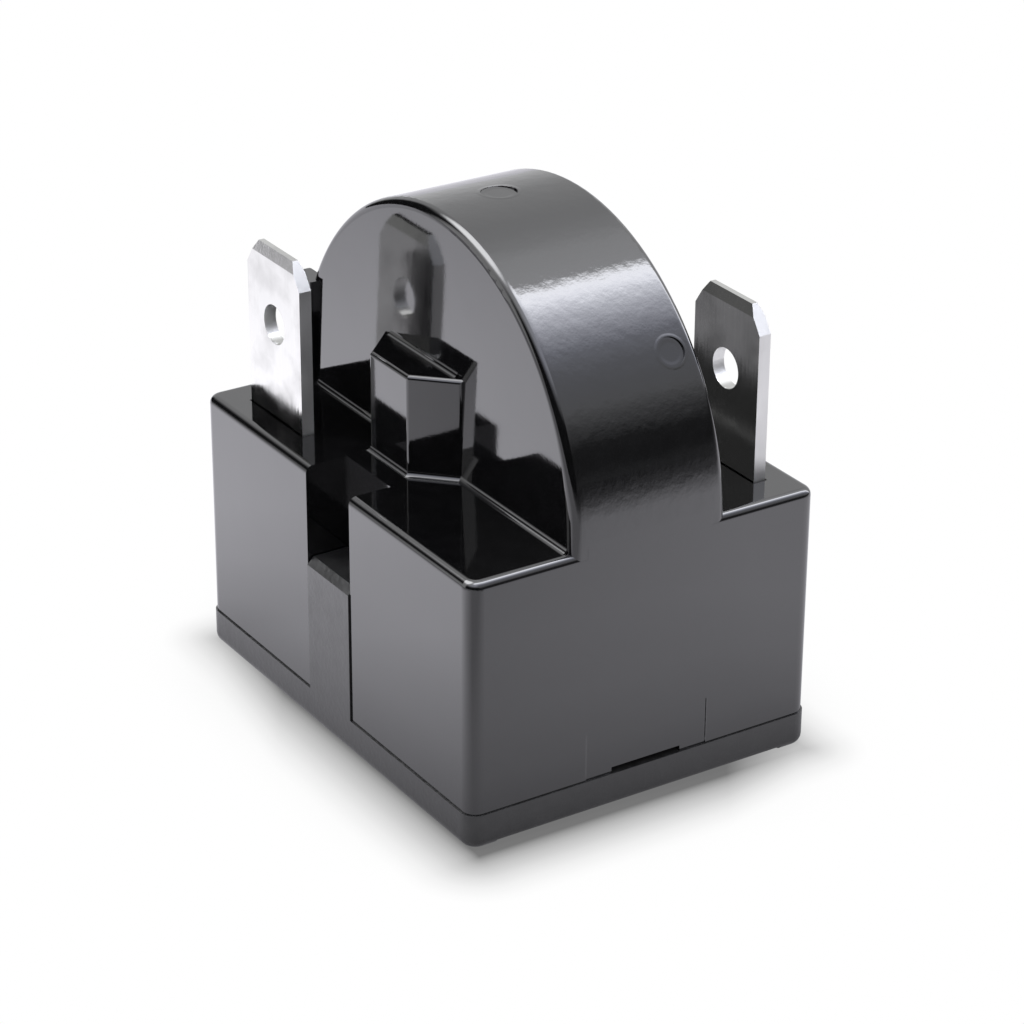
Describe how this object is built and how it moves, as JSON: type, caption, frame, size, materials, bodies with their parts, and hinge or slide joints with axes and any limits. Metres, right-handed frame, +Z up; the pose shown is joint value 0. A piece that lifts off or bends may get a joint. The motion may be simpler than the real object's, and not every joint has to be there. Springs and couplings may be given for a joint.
{
  "type": "compressor start relay",
  "caption": "Plug-on start relay: rectangular housing with a half-round head for a ceramic disc, key post, front slot, plug-on tabs and pin sockets underneath.",
  "frame": {"origin": "middle of the underside, where the relay stands on its base plate", "axes": "+X right across the two tabs, +Y to the rear, -Y is the face with the slot and the key post, +Z up along the pin sockets"},
  "size_m": [0.031, 0.024, 0.0325],
  "materials": {
    "cover_plastic": "glossy moulded thermoset",
    "base_plastic": "fine-grained moulded thermoset",
    "disc_ceramic": "fired ceramic with silvered faces",
    "spring_steel": "rolled strip",
    "tinned_brass": "bright tin plate on brass strip",
    "bare_brass": "stamped brass"
  },
  "bodies": {
    "root": {"cover": "cover_plastic", "base_plate": "base_plastic", "ptc_disc": "disc_ceramic", "start_spring": "spring_steel", "run_spring": "spring_steel", "start_terminal": "tinned_brass", "run_terminal": "tinned_brass", "start_socket": "bare_brass", "run_socket": "bare_brass", "start_socket_clip": "spring_steel", "run_socket_clip": "spring_steel", "terminal_rivets": "bare_brass"}
  },
  "joints": []
}
